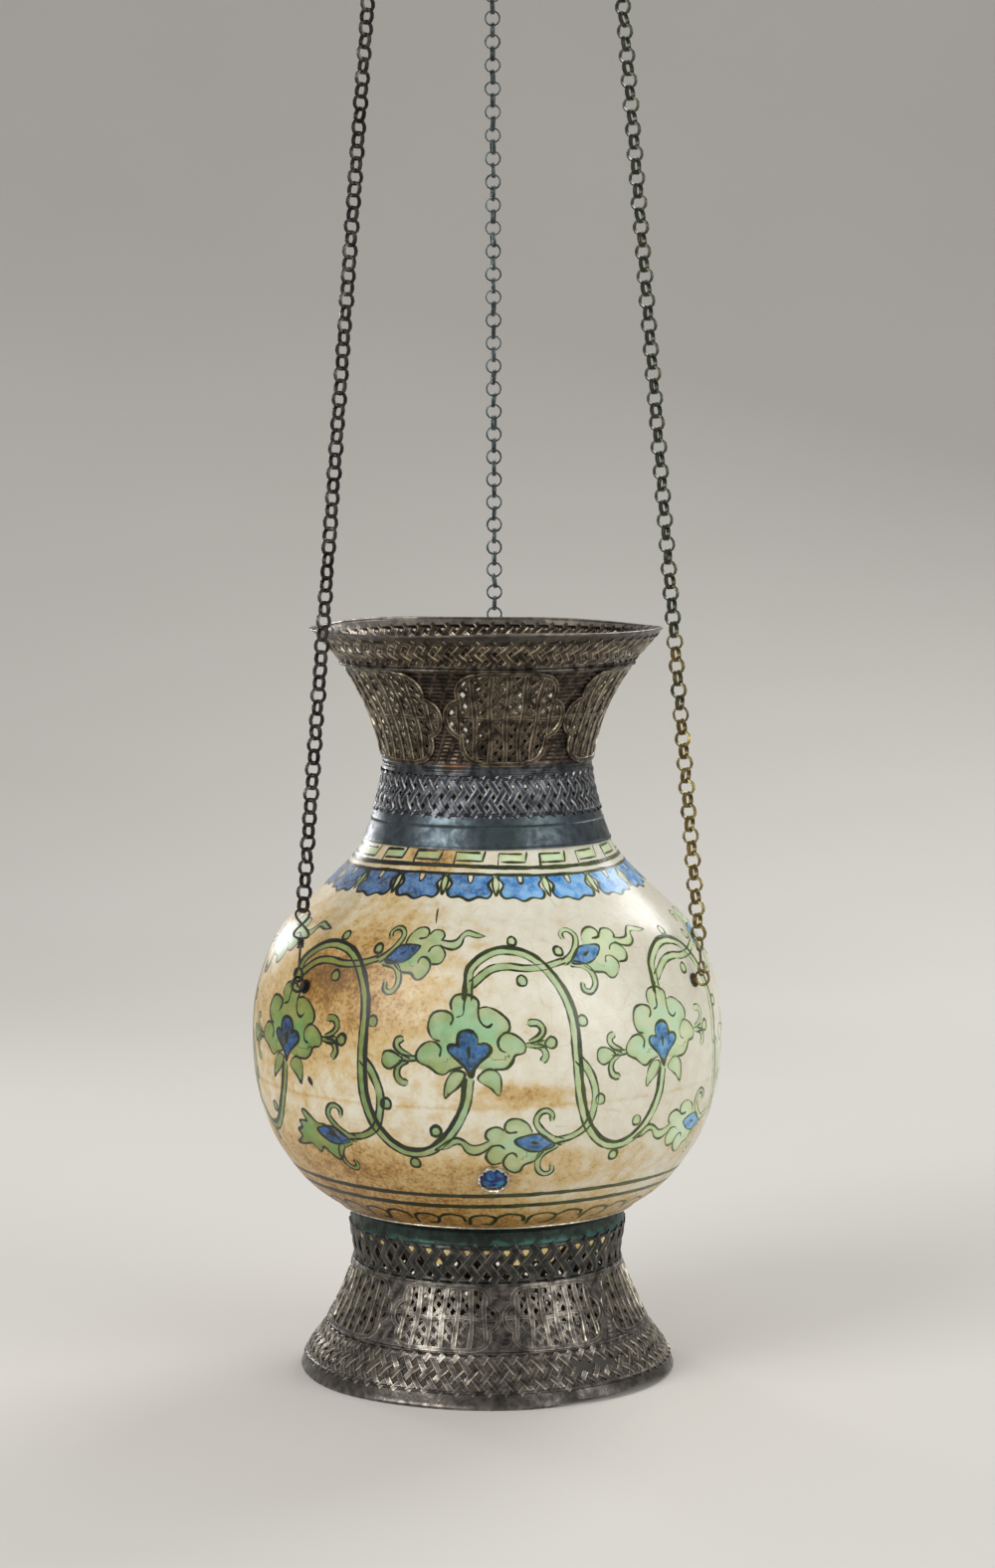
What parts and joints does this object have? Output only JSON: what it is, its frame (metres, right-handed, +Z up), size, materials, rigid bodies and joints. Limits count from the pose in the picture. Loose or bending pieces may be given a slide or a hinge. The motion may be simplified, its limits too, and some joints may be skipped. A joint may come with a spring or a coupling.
{
  "type": "mosque lamp",
  "caption": "Hanging mosque lamp: painted ceramic globe between a flared pierced metal neck and foot, on three wire-link chains from a swivelling crown, with a lift-out oil cup.",
  "frame": {"origin": "centre of the hanging eye at the top, on the lamp's axis", "axes": "+Z up along the lamp's axis, -Y towards the painted front, hanging eye's bore along Y"},
  "size_m": [0.2144, 0.218, 0.7274],
  "materials": {
    "glazed_ceramic": "cream tin glaze with painted ornament, stained and crazed",
    "aged_silver": "silvered copper alloy, heavily tarnished brown-black",
    "grey_silver": "silvered copper alloy, blue-grey tarnish",
    "worn_silver": "silvered copper alloy, worn bright on the edges",
    "verdigris": "copper alloy with green-blue verdigris",
    "dark_bronze": "drawn wire, dark tarnish",
    "old_brass": "brass, dull with green shadows",
    "forged_iron": "forged, oxidised",
    "plaster": "old plaster bedding",
    "blue_glass": "deep blue glass paste",
    "clear_glass": "blown, faintly green",
    "cotton": "twisted cotton, charred tip"
  },
  "bodies": {
    "hanger": {"hanger_link": "forged_iron"},
    "swivel": {"swivel_fork": "forged_iron", "hanger_pin": "worn_silver", "swivel_washer": "worn_silver"},
    "crown": {"crown_dome": "old_brass", "crown_hub": "old_brass", "crown_washer": "worn_silver", "left_crown_eye": "old_brass", "right_crown_eye": "old_brass", "rear_crown_eye": "old_brass"},
    "vessel": {"globe": "glazed_ceramic", "neck_bedding": "plaster", "foot_bedding": "plaster", "neck_collar": "grey_silver", "neck_lower_lattice": "grey_silver", "neck_waist_ring": "worn_silver", "neck_panel": "aged_silver", "neck_wires": "worn_silver", "neck_upper_lattice": "aged_silver", "mouth_rim": "worn_silver", "foot_collar": "verdigris", "foot_upper_lattice": "aged_silver", "foot_upper_wire": "worn_silver", "foot_panel": "aged_silver", "foot_lower_wire": "worn_silver", "foot_lower_lattice": "aged_silver", "foot_rim": "worn_silver", "left_eye": "dark_bronze", "right_eye": "old_brass", "rear_eye": "verdigris", "eye_washers": "worn_silver", "clinch_plates": "worn_silver", "stud_glass": "blue_glass", "stud_setting": "worn_silver", "cup_cradle": "old_brass"},
    "left_chain": {"left_top_ring": "dark_bronze", "left_chain_edge_links": "dark_bronze", "left_chain_flat_links": "dark_bronze", "left_hook": "dark_bronze"},
    "right_chain": {"right_top_ring": "old_brass", "right_chain_edge_links": "old_brass", "right_chain_flat_links": "old_brass", "right_hook": "old_brass"},
    "rear_chain": {"rear_top_ring": "verdigris", "rear_chain_edge_links": "verdigris", "rear_chain_flat_links": "verdigris", "rear_hook": "verdigris"},
    "oil_cup": {"oil_cup": "clear_glass"},
    "wick": {"wick_holder": "worn_silver", "wick": "cotton"}
  },
  "joints": [
    {"name": "lamp_swing", "type": "hinge", "parent": "hanger", "child": "swivel", "pos_m": [0, 0, -0.026], "axis": [0, 1, 0], "range_deg": [-35, 35]},
    {"name": "crown_swivel", "type": "hinge", "parent": "swivel", "child": "crown", "pos_m": [0, 0, -0.0434], "axis": [0, 0, 1], "continuous": true},
    {"name": "lamp_twist", "type": "hinge", "parent": "crown", "child": "vessel", "pos_m": [0, 0, -0.0634], "axis": [0, 0, 1], "range_deg": [-8, 8], "stiffness_Nm_per_rad": 0.4},
    {"name": "left_chain_lean", "type": "hinge", "parent": "crown", "child": "left_chain", "pos_m": [-0.04974, -0.04028, -0.0634], "axis": [-0.7771, -0.6293, 0], "range_deg": [-2, 2]},
    {"name": "right_chain_lean", "type": "hinge", "parent": "crown", "child": "right_chain", "pos_m": [0.05728, -0.02856, -0.0634], "axis": [0.8949, -0.4462, 0], "range_deg": [-2, 2]},
    {"name": "rear_chain_lean", "type": "hinge", "parent": "crown", "child": "rear_chain", "pos_m": [0.00223, 0.06396, -0.0634], "axis": [0.0349, 0.9994, 0], "range_deg": [-2, 2]},
    {"name": "oil_cup_lift", "type": "slide", "parent": "vessel", "child": "oil_cup", "axis": [0, 0, 1], "range_m": [0, 0.2]},
    {"name": "wick_lift", "type": "slide", "parent": "oil_cup", "child": "wick", "axis": [0, 0, 1], "range_m": [0, 0.1]}
  ],
  "couplings": [
    {"joint": "left_chain_lean", "follows": "lamp_twist", "ratio": 0.23058},
    {"joint": "right_chain_lean", "follows": "lamp_twist", "ratio": 0.23058},
    {"joint": "rear_chain_lean", "follows": "lamp_twist", "ratio": 0.23058}
  ]
}
